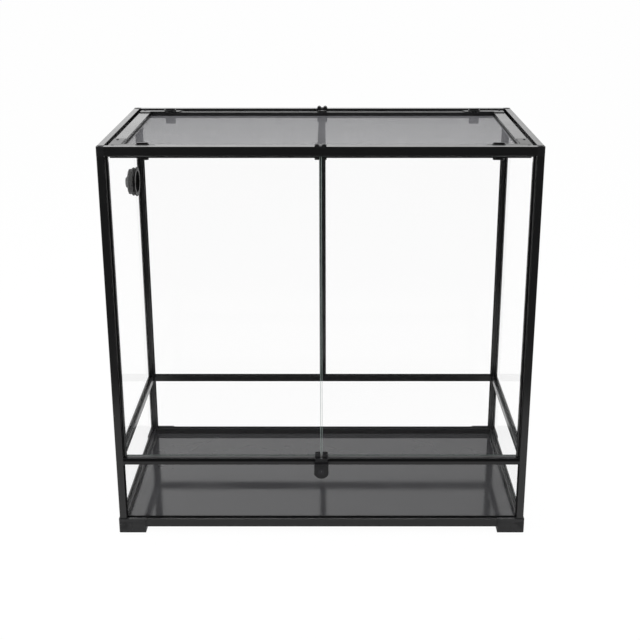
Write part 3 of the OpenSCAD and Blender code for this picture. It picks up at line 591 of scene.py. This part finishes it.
def wire_layer(name, along, z):
    """One layer of straight wires that run along X (0) or Y (1)."""
    across = 1 - along
    length = net_high[along] - net_low[along]
    count = int((net_high[across] - net_low[across]) / net_pitch)
    first = [0.0, 0.0, z]
    first[across] = net_low[across] + net_pitch / 2
    turn = (0, math.pi / 2, 0) if along == 0 else (math.pi / 2, 0, 0)
    bpy.ops.object.select_all(action="DESELECT")
    bpy.ops.mesh.primitive_cylinder_add(vertices=6, radius=wire_r, depth=length, location=first,
                                        rotation=turn)
    layer = bpy.context.object
    layer.name = name
    settle(layer)
    rows = layer.modifiers.new("rows", "ARRAY")
    rows.count = count
    rows.use_relative_offset = False
    rows.use_constant_offset = True
    step = [0.0, 0.0, 0.0]
    step[across] = net_pitch
    rows.constant_offset_displace = step
    bpy.ops.object.modifier_apply(modifier="rows")
    return layer


net_z = (net_low[2] + net_high[2]) / 2
net = join("insect_net", [wire_layer("net_warp", 0, net_z - wire_r),
                          wire_layer("net_weft", 1, net_z + wire_r)])
print("net faces", len(net.data.polygons))

# %% [markdown]
# The net's wire is aluminium under a thin dark grey coat of baked enamel. Its lighter grey colour,
# a little uneven in its tint, is partly painted sheen: it stands in for the glints that fine wires
# catch at a low angle. The net is left out of shadows and of diffuse light. The lamps' light then
# passes it whole, and the floor panel below keeps about the same tone.

# %% Wire enamel with painted sheen
wire_coat_and_sheen, tree, out = new_material("grey_enamel_wire_with_painted_sheen")
place = add_node(tree, "ShaderNodeTexCoord")
sheen_cloud = add_node(tree, "ShaderNodeTexNoise", None, {"Scale": 25.0, "Detail": 3.0},
                      {"Vector": place.outputs["Object"]})
# These two greys are painted sheen over a dark wire, spread a little unevenly.
wire_sheen_tint = add_node(tree, "ShaderNodeMix", {"data_type": "RGBA"},
                     {"A": linear("#69696d"), "B": linear("#78787c")},
                     {"Factor": sheen_cloud.outputs["Fac"]})
wire_shader = add_node(tree, "ShaderNodeBsdfPrincipled", None, {"Roughness": 0.5, "IOR": 1.5},
                       {"Base Color": wire_sheen_tint.outputs[2]})
tree.links.new(wire_shader.outputs[0], out.inputs["Surface"])
fit(net, "screen_top", "mesh", wire_coat_and_sheen, "screen_mesh")
net.visible_shadow = False
net.visible_diffuse = False
print("net finish", wire_coat_and_sheen.name)

# %% [markdown]
# A flat ring such as the rubber cord round the net, or the seal round a pane, starts as a plate. The
# plate is inset by the ring's width, its middle is taken out, and the rest is drawn up. Four separate
# strips would leave seams at the corners.

# %% The cord round the net
def ring_strip(name, middle, wide, high, width, thick, facing, soft):
    """A four-sided ring of the outer size wide by high, drawn up from middle towards facing."""
    bpy.ops.object.select_all(action="DESELECT")
    bpy.ops.mesh.primitive_plane_add(size=1)
    ring = bpy.context.object
    ring.name = name
    ring.scale = (wide, high, 1)
    settle(ring)
    bpy.ops.object.mode_set(mode="EDIT")
    bpy.ops.mesh.select_all(action="SELECT")
    bpy.ops.mesh.inset(thickness=width)
    bpy.ops.mesh.delete(type="FACE")
    bpy.ops.mesh.select_all(action="SELECT")
    bpy.ops.mesh.extrude_region_move(TRANSFORM_OT_translate={"value": (0, 0, thick)})
    bpy.ops.mesh.select_all(action="SELECT")
    bpy.ops.mesh.normals_make_consistent(inside=False)
    bpy.ops.object.mode_set(mode="OBJECT")
    ring.rotation_euler = Vector(facing).to_track_quat("Z", "Y").to_euler()
    ring.location = middle
    settle(ring)
    round_edges(ring, soft)
    return ring


spline_w = 2.2 * MM
screen_low, screen_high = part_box("screen_bar_front")
opening_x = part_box("screen_bar_right")[0][0]
opening_y = -screen_high[1]
spline_t = 1.6 * MM
spline = ring_strip("net_spline", (0, 0, net_high[2]), 2 * opening_x, 2 * opening_y, spline_w, spline_t,
                    (0, 0, 1), 0.6 * MM)
fit(spline, "screen_top", "plastic", seal_rubber)
print("spline", size(spline))

# %% [markdown]
# Each fixed pane is bedded in black sealant. What shows of it is a narrow bead on both sides of the
# glass, along the posts and rails. The bead's outer side touches the frame and its back the pane.

# %% Beads of sealant
bead = 1.6 * MM
bead_rise = 1.2 * MM
post_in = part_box("post_front_right")[0][0]
post_back = -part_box("post_front_right")[1][1]
low_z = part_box("bottom_rail_front")[1][2]
mid_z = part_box("mid_rail_front")[0][2]
high_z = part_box("mid_rail_front")[1][2]
top_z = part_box("top_rail_front")[0][2]
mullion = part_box("rear_mullion")[1][0]


def bead_pair(name, node, axis, middle, wide, low, high):
    """A bead on each face of a pane that stands across the given axis (0 for X, 1 for Y)."""
    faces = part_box(node)
    parts = []
    for end, sign in ((0, -1), (1, 1)):
        place = [0, 0, (low + high) / 2]
        place[1 - axis] = middle
        place[axis] = faces[end][axis]
        facing = [0, 0, 0]
        facing[axis] = sign
        parts.append(ring_strip(name, place, wide, high - low, bead, bead_rise, facing, 0.5 * MM))
    seal = join(name, parts)
    fit(seal, "frame", "plastic", seal_rubber)


side_depth = 2 * post_back
full_width = 2 * post_in
half_pane = post_in - mullion
for side in ("left", "right"):
    bead_pair(f"seal_lower_{side}", f"lower_pane_{side}", 0, 0, side_depth, low_z, mid_z)
    bead_pair(f"seal_upper_{side}", f"upper_pane_{side}", 0, 0, side_depth, high_z, top_z)
for side in ("front", "rear"):
    bead_pair(f"seal_lower_{side}", f"lower_pane_{side}", 1, 0, full_width, low_z, mid_z)
for side, sign in (("left", -1), ("right", 1)):
    bead_pair(f"seal_upper_rear_{side}", "upper_panes_rear", 1, sign * (mullion + half_pane / 2),
              half_pane, high_z, top_z)

# %% [markdown]
# A round part, such as a knob or a screw, grows from a disc: the disc's face is extruded and resized
# once for each ring of its profile, as a turner reads a drawing. Spin could sweep the profile round
# too, but it leaves a seam and a pole to close.

# %% Turned parts
def turned(name, rings, sides=48):
    """A round part about Z from rings of (radius, height)."""
    bpy.ops.object.select_all(action="DESELECT")
    bpy.ops.mesh.primitive_circle_add(vertices=sides, radius=rings[0][0], fill_type="NGON",
                                      location=(0, 0, rings[0][1]))
    piece = bpy.context.object
    piece.name = name
    settle(piece)
    bpy.ops.object.mode_set(mode="EDIT")
    bpy.ops.mesh.select_all(action="SELECT")
    for (wide, low), (next_wide, high) in zip(rings, rings[1:]):
        bpy.ops.mesh.extrude_region_move(TRANSFORM_OT_translate={"value": (0, 0, high - low)})
        bpy.ops.transform.resize(value=(next_wide / wide, next_wide / wide, 1))
    bpy.ops.mesh.select_all(action="SELECT")
    bpy.ops.mesh.normals_make_consistent(inside=False)
    bpy.ops.object.mode_set(mode="OBJECT")
    bpy.ops.object.shade_smooth_by_angle(angle=math.radians(35))
    return piece


print("helper: turned")

# %% [markdown]
# A turned or rounded part is then cut, placed and copied. A boolean modifier takes each cutter out of
# the piece and is applied at once. A piece made about Z is turned to where it faces, and a copy gets
# a mesh of its own, so that each can be placed in its own mesh.

# %% Cutting, placing and copying
def cut_away(piece, cutters):
    """Cuts the cutters out of a piece and removes them."""
    for number, cutter in enumerate(cutters):
        cut = piece.modifiers.new(f"cut_{number}", "BOOLEAN")
        cut.operation = "DIFFERENCE"
        cut.object = cutter
        pick(piece)
        bpy.ops.object.modifier_apply(modifier=cut.name)
        bpy.data.objects.remove(cutter)


def put(piece, place, facing=(0, 0, 1)):
    """Moves a piece that was made about Z to its place, with Z turned to facing."""
    piece.rotation_euler = Vector(facing).to_track_quat("Z", "Y").to_euler()
    piece.location = place
    settle(piece)
    return piece


def twin(piece, name):
    """A copy with its own mesh."""
    copy = piece.copy()
    copy.data = piece.data.copy()
    copy.name = name
    bpy.context.scene.collection.objects.link(copy)
    return copy


print("helpers: cut_away, put, twin")


# %% [markdown]
# A knob's grip and cam are bars with round ends. Each is a block whose upright edges are bevelled by
# nearly half its width, since at the full half the two round ends would meet in a doubled edge.

# %% Bars with round ends
def unselect(piece, kind):
    """Selects no part of a piece's mesh, and sets what is selected next: EDGE or FACE."""
    pick(piece)
    bpy.ops.object.mode_set(mode="EDIT")
    bpy.ops.mesh.select_mode(type=kind)
    bpy.ops.mesh.select_all(action="DESELECT")
    bpy.ops.object.mode_set(mode="OBJECT")


def upright_ends(piece, radius, steps=5):
    """Rounds a block's upright edges."""
    unselect(piece, "EDGE")
    points = piece.data.vertices
    for edge in piece.data.edges:
        run = points[edge.vertices[0]].co - points[edge.vertices[1]].co
        edge.select = abs(run.z) > 0.99 * run.length
    bpy.ops.object.mode_set(mode="EDIT")
    bpy.ops.mesh.bevel(offset=radius, segments=steps, affect="EDGES")
    bpy.ops.object.mode_set(mode="OBJECT")


nearly_half = 0.49


def bar(name, length, width, low, high, soft):
    """A bar along X with round ends, from low to high."""
    bpy.ops.object.select_all(action="DESELECT")
    bpy.ops.mesh.primitive_cube_add(size=1, location=(0, 0, (low + high) / 2),
                                    scale=(length, width, high - low))
    piece = bpy.context.object
    piece.name = name
    settle(piece)
    upright_ends(piece, width * nearly_half)
    round_edges(piece, soft)
    return piece


print("helpers: unselect, upright_ends, bar")

# %% [markdown]
# A knob's rim has notches for the fingers. They are every second face of the rim, inset and pushed in.
# Cutting them out one by one would be slower and leave more faces.

# %% Notched rims
notches = 36


def notch_rim(piece, radius, low, high):
    """Pushes every second face of a rim inwards."""
    unselect(piece, "FACE")
    for face in piece.data.polygons:
        around = math.atan2(face.center.y, face.center.x) / math.tau * 2 * notches
        outside = math.hypot(face.center.x, face.center.y) > 0.98 * radius
        on_rim = outside and low < face.center.z < high
        face.select = on_rim and abs(face.normal.z) < 0.2 and math.floor(around) % 2 == 0
    bpy.ops.object.mode_set(mode="EDIT")
    bpy.ops.mesh.inset(thickness=0.15 * MM, use_individual=True)
    bpy.ops.transform.shrink_fatten(value=-0.4 * MM)
    bpy.ops.object.mode_set(mode="OBJECT")


print("notches", notches)

# %% [markdown]
# The four turn knobs are moulded: a dished disc with a notched rim, a grip bar across it, and below, a
# stem through the screen frame with the cam that hooks under the rail's ledge. The measured knob has a
# plain rim, so a finer one is made once, joined from its four shapes, and copied to the four places.

# %% Turn knobs
disc_t = 2.6 * MM
disc_gap = 0.3 * MM
dish = 0.8 * MM
stem_r = 4 * MM
grip_len = 24 * MM
grip_wide = 6 * MM
cam_len = 24 * MM
cam_wide = 10 * MM
cam_tall = 12.4 * MM
knob_low, knob_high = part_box("knob_front_left")
knob_r = (knob_high[0] - knob_low[0]) / 2
disc_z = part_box("screen_corners")[1][2] + disc_gap
disc = turned("knob", [(knob_r - 0.7 * MM, 0), (knob_r, 0.5 * MM), (knob_r, disc_t - 0.6 * MM),
                       (knob_r - 0.5 * MM, disc_t), (knob_r - 2.2 * MM, disc_t),
                       (knob_r - 2.8 * MM, disc_t - dish), (stem_r, disc_t - dish)], 2 * notches)
notch_rim(disc, knob_r, 0, disc_t)
put(disc, (0, 0, disc_z))
grip = bar("knob_grip", grip_len, grip_wide, disc_z + disc_t - 1 * MM, knob_high[2], 0.6 * MM)
stem = turned("knob_stem", [(stem_r, knob_low[2] + cam_tall - 1 * MM), (stem_r, disc_z + 0.2 * MM)])
cam = bar("knob_cam", cam_len, cam_wide, knob_low[2], knob_low[2] + cam_tall, 0.6 * MM)
knob = join("knob", [disc, grip, stem, cam])
for depth in ("front", "rear"):
    for side in ("left", "right"):
        name = f"knob_{depth}_{side}"
        low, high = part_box(name)
        turn_knob = twin(knob, f"turn_{name}")
        put(turn_knob, ((low[0] + high[0]) / 2, (low[1] + high[1]) / 2, 0))
        fit(turn_knob, name, "plastic", abs_knob, name)
bpy.data.objects.remove(knob)
print("knob radius", round(knob_r, 4), "disc at", round(disc_z, 4))

# %% [markdown]
# The corner plates and the latch bracket are held by small cross-head screws. One screw is made: a
# low dome with a cross cut into it. A dark cross painted on a disc would do from afar, but the cut
# catches the light on its walls. The others are copies with their own mesh.

# %% One screw
screw_r = 3.2 * MM
screw_h = 1.1 * MM
screw = turned("screw", [(screw_r, -0.4 * MM), (screw_r, 0.3 * MM), (screw_r * 0.86, 0.75 * MM),
                         (screw_r * 0.55, screw_h)], 32)
slot_w = 0.35 * MM
slot_l = 2.0 * MM
cut_away(screw, [block("slot_x", (-slot_l, -slot_w, 0.35 * MM), (slot_l, slot_w, 2 * MM), 0.02 * MM, 1),
                 block("slot_y", (-slot_w, -slot_l, 0.35 * MM), (slot_w, slot_l, 2 * MM), 0.02 * MM, 1)])
print("screw faces", len(screw.data.polygons))

# %% [markdown]
# Each corner plate of the screen has a screw at its corner, and the two front plates have one more at
# the end of their leg along the side. All six are joined, since they lift off together.

# %% Corner plate screws
plate_x, plate_y, plate_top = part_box("screen_corners")[1]
plate_in = 9 * MM
leg_in = 68 * MM
plate_screws = []
for side in (-1, 1):
    for depth in (-1, 1):
        corner = (side * (plate_x - plate_in), depth * (plate_y - plate_in), plate_top)
        plate_screws.append(put(twin(screw, "plate_screw"), corner))
    leg_end = (side * (plate_x - plate_in), -(plate_y - leg_in), plate_top)
    plate_screws.append(put(twin(screw, "plate_screw"), leg_end))
plate_screws = join("corner_plate_screws", plate_screws)
fit(plate_screws, "screen_top", "steel", black_steel)
print("plate screw faces", len(plate_screws.data.polygons))

# %% [markdown]
# Two smaller screws of the same kind hold the latch bracket to the front of the mid rail. They are
# copies at a smaller scale, which is then given to the mesh.

# %% Latch bracket screws
small_screw = 0.62
screw_out = 11 * MM
screw_up = 7.5 * MM
bracket_low, bracket_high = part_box("latch_bracket")
bracket_screws = []
for side in (-1, 1):
    small = twin(screw, "bracket_screw")
    small.scale = (small_screw, small_screw, small_screw)
    settle(small)
    place = (side * screw_out, bracket_low[1], bracket_low[2] + screw_up)
    bracket_screws.append(put(small, place, (0, -1, 0)))
bracket_screws = join("latch_bracket_screws", bracket_screws)
fit(bracket_screws, "frame", "steel", black_steel)
bpy.data.objects.remove(screw)
print("bracket screw faces", len(bracket_screws.data.polygons))

# %% [markdown]
# The latch bracket ends in a rounded lip that keeps dust off the lock below it, and catches the light
# on its top. It could be part of the measured bracket, but it is thin trim and is laid on here.

# %% Lip of the latch bracket
lock_low, lock_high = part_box("lock_body")
lip_proud = 0.8 * MM
lip_tall = 3.2 * MM
lip = block("latch_bracket_lip", (bracket_low[0], lock_low[1] - lip_proud, lock_high[2] + 0.3 * MM),
            (bracket_high[0], bracket_low[1] + 0.6 * MM, lock_high[2] + lip_tall), 1.2 * MM, 4)
fit(lip, "frame", "plastic", abs_black)
print("lip", size(lip))

# %% [markdown]
# In the keyway sits a bright spring shutter that the key pushes back. It is a rounded slip of plated
# steel just behind the cylinder's face, and it shows as a fine bright line.

# %% Keyway shutter
key_low, key_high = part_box("lock_cylinder")
key_face = key_low[1]
key_z = (key_low[2] + key_high[2]) / 2
shutter_half = 0.55 * MM
shutter_reach = 2.6 * MM
shutter = block("keyway_shutter", (-shutter_half, key_face + 0.5 * MM, key_z - shutter_reach),
                (shutter_half, key_face + 2.5 * MM, key_z + shutter_reach), 0.5 * MM, 3)
fit(shutter, "key_cylinder", "steel", steel)
print("shutter", size(shutter))

# %% [markdown]
# In the middle of the front and the rear screen bar sits a small raised pad, where the bar bears on
# the brace below. It is moulded, with generous rounding, and both pads are joined into one piece.

# %% Centre pads
pad_w = 19.5 * MM
pad_d = 18 * MM
pad_h = 2.6 * MM
pad_in = 2 * MM
bar_top = screen_high[2]
bar_out = -screen_low[1]
pads = []
for depth in (-1, 1):
    near = depth * (bar_out - pad_in)
    far = depth * (bar_out - pad_in - pad_d)
    pad = block("pad", (-pad_w / 2, min(near, far), bar_top - 0.2 * MM),
                (pad_w / 2, max(near, far), bar_top + pad_h), 0.7 * MM, 3)
    pads.append(pad)
pads = join("screen_centre_pads", pads)
fit(pads, "screen_top", "plastic", abs_knob)
print("pads", size(pads))

# %% [markdown]
# The feet are the most rounded parts of the frame. They are moulded in three shells, so a shallow
# parting groove runs round their outer faces near the top and another from it down to the ground.
# A live bevel can't be cut afterwards, so each foot is a copy of the measured one: welded, its flat
# areas made whole, its edges rounded, and the grooves cut in.

# %% Feet
foot_round = 1.4 * MM
groove = 0.5 * MM
groove_half = 0.35 * MM
seam_drop = 9 * MM
foot_weld = 0.005 * MM


def foot_groove(low, high, x_out, y_out):
    """The blocks that cut the parting grooves into a foot's two outer faces."""
    x_mid = (low[0] + high[0]) / 2
    y_mid = (low[1] + high[1]) / 2
    seam_z = high[2] - seam_drop
    reach = (high[0] - low[0]) / 2 + 1 * MM
    upright = (low[2] - 1 * MM, seam_z, groove_half)
    level_run = (seam_z - 2 * groove_half, seam_z, reach)
    cutters = []
    for part_low, part_high, half in (upright, level_run):
        cutters.append(block("cut", (x_mid - half, y_out - groove, part_low),
                             (x_mid + half, y_out + groove, part_high), 0.02 * MM, 1))
        cutters.append(block("cut", (x_out - groove, y_mid - half, part_low),
                             (x_out + groove, y_mid + half, part_high), 0.02 * MM, 1))
    return cutters


for depth, y_end in (("front", 0), ("rear", 1)):
    for side, x_end in (("left", 0), ("right", 1)):
        node = f"foot_{depth}_{side}"
        low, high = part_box(node)
        foot = twin(nodes[node], f"corner_{node}")
        foot.modifiers.clear()
        pick(foot)
        bpy.ops.object.mode_set(mode="EDIT")
        bpy.ops.mesh.select_all(action="SELECT")
        bpy.ops.mesh.remove_doubles(threshold=foot_weld)
        bpy.ops.mesh.dissolve_limited(angle_limit=flat_angle)
        bpy.ops.object.mode_set(mode="OBJECT")
        round_edges(foot, foot_round, 3)
        cut_away(foot, foot_groove(low, high, (low, high)[x_end][0], (low, high)[y_end][1]))
        pick(foot)
        bpy.ops.object.shade_smooth_by_angle(angle=math.radians(30))
        fit(foot, "frame", "plastic", abs_foot, node)
print("foot faces", len(foot.data.polygons))

# %% [markdown]
# A thin strip of very dark, matt rubber lies on the upper part of the front mid rail, just below the
# doors. It is painted shade: it stands for the shade in the gap under the doors, and it reads as a
# black line above the dark grey of the rail. A dark band painted on the rail would have no edge of its
# own to catch the light.

# %% Door sill strip of painted shade
rail_low, rail_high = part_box("mid_rail_front")
sill_tall = 7.0 * MM
sill_proud = 0.25 * MM
sill_inset = 0.5 * MM
sill_shade_strip = block("door_sill_shade_strip",
             (rail_low[0] + sill_inset, rail_low[1] - sill_proud, rail_high[2] - sill_tall),
             (rail_high[0] - sill_inset, rail_low[1] + sill_inset, rail_high[2] - sill_inset), 0.2 * MM)
fit(sill_shade_strip, "frame", "plastic", sill_shade_rubber)
print("sill_shade_strip", size(sill_shade_strip))

# %% [markdown]
# Each front post has a thin lining of matt rubber on its inner face, beside the door's stile. It is
# painted shade: the satin post would mirror the room into the slit beside the stile as a line of
# light, and the matt, dark lining keeps the slit dark from the front.

# %% Jamb linings of painted shade
stile_low, stile_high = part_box("door_right_stile")
post_low, post_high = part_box("post_front_right")
lining_t = 0.25 * MM
for side, sign in (("left", -1), ("right", 1)):
    inner = sign * (post_low[0] - lining_t)
    outer = sign * (post_low[0] + 0.3 * MM)
    shade_lining = block(f"jamb_shade_lining_{side}",
                   (min(inner, outer), post_low[1] + 1.2 * MM, stile_low[2] + 1 * MM),
                   (max(inner, outer), post_high[1] - 0.6 * MM, stile_high[2] - 1 * MM), 0.1 * MM, 1)
    # A dark, matt sheet of painted shade in the slit beside the stile.
    fit(shade_lining, "frame", "plastic", seal_rubber)
print("linings", size(shade_lining))

# %% [markdown]
# The cable port is two mouldings outside the pane, both round about one axis that stands across the
# pane. They are made about Z, like every turned part, and then laid on that axis, and so are the
# cutters that bore them.

# %% The cable port's axis
cup_low, cup_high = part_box("port_cup")
port_y = (cup_low[1] + cup_high[1]) / 2
port_z = (cup_low[2] + cup_high[2]) / 2
pane_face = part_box("upper_pane_left")[0][0]
flange_r = (cup_high[2] - cup_low[2]) / 2
cup_depth = pane_face - cup_low[0]
tube_end = pane_face - cup_high[0]
cable_r = 9 * MM
cable_off = 15 * MM
port_sides = 72


def on_port(piece, up=0.0):
    """Puts a piece that was made about Z on the port's axis, with Z pointing out of the pane."""
    return put(piece, (pane_face, port_y, port_z + up), (-1, 0, 0))


def port_drill(radius, start, end, up=0.0):
    """A round cutter along the port's axis."""
    return on_port(turned("drill", [(radius, start), (radius, end)]), up)


print("flange radius", round(flange_r, 4), "housing stands out", round(cup_depth, 4))

# %% [markdown]
# The housing has a broad flange that lies on the glass, a step, and a tube that passes through the
# pane to the inner ring. It is turned from the rings of its profile. Three bores then hollow it, open
# the hole for the pivot and open the hole for the cable, which no turned profile could have.

# %% Cable port housing
tube_r = 28.4 * MM
port_wall = 2.5 * MM
pivot_bore = 4.2 * MM
step_in = 3.6 * MM
step_r = flange_r - step_in
housing = on_port(turned("cable_port_housing", [
    (tube_r, tube_end), (tube_r, 0), (flange_r - 0.6 * MM, 0), (flange_r, 0.6 * MM),
    (flange_r, 2.6 * MM), (flange_r - 0.8 * MM, 3.4 * MM), (step_r + 0.6 * MM, 3.8 * MM),
    (step_r, 4.4 * MM),
    (step_r, cup_depth - 0.6 * MM), (step_r - 0.6 * MM, cup_depth)], port_sides))
cut_away(housing, [port_drill(tube_r - port_wall, tube_end - 1 * MM, cup_depth - port_wall),
                   port_drill(pivot_bore, 0, cup_depth + 1 * MM),
                   port_drill(cable_r, 0, cup_depth + 1 * MM, -cable_off)])
bpy.ops.object.shade_smooth_by_angle(angle=math.radians(35))
fit(housing, "frame", "plastic", abs_port, "port_cup")
print("housing faces", len(housing.data.polygons))

# %% [markdown]
# The cover turns on the housing by a domed knob in its middle, which flares out into the disc. It has
# a hole of the same size as the housing's, and turning the cover brings the two in line. Its pivot is
# part of the same turning: a thin stem with a head behind the housing's wall.

# %% Cable port cover
pivot_r = 4 * MM
pivot_head_r = 5.5 * MM
pivot_head_t = 1.2 * MM
pivot_inner = cup_depth - port_wall - 1.5 * MM
cover_foot = cup_depth + 0.3 * MM
knob_top = pane_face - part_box("port_cover")[0][0]
cover = on_port(turned("cable_port_cover", [
    (pivot_head_r, pivot_inner), (pivot_head_r, pivot_inner + pivot_head_t),
    (pivot_r, pivot_inner + pivot_head_t), (pivot_r, cover_foot),
    (step_r - 0.3 * MM, cover_foot), (step_r, cover_foot + 0.4 * MM),
    (step_r - 0.2 * MM, cover_foot + 1.6 * MM), (step_r - 1.2 * MM, cover_foot + 2.2 * MM),
    (25 * MM, cover_foot + 2.7 * MM), (20 * MM, cover_foot + 3.4 * MM),
    (17 * MM, cover_foot + 4.6 * MM), (15.4 * MM, cover_foot + 6.2 * MM),
    (14.6 * MM, knob_top - 1.8 * MM), (13.6 * MM, knob_top - 0.8 * MM),
    (11.6 * MM, knob_top - 0.2 * MM), (8 * MM, knob_top)], port_sides))
cut_away(cover, [port_drill(cable_r, cover_foot - 0.2 * MM, knob_top + 1 * MM, cable_off)])
bpy.ops.object.shade_smooth_by_angle(angle=math.radians(35))
fit(cover, "cable_port_cover", "plastic", abs_port, "port_cover")
print("port knob stands out", round(knob_top, 4))
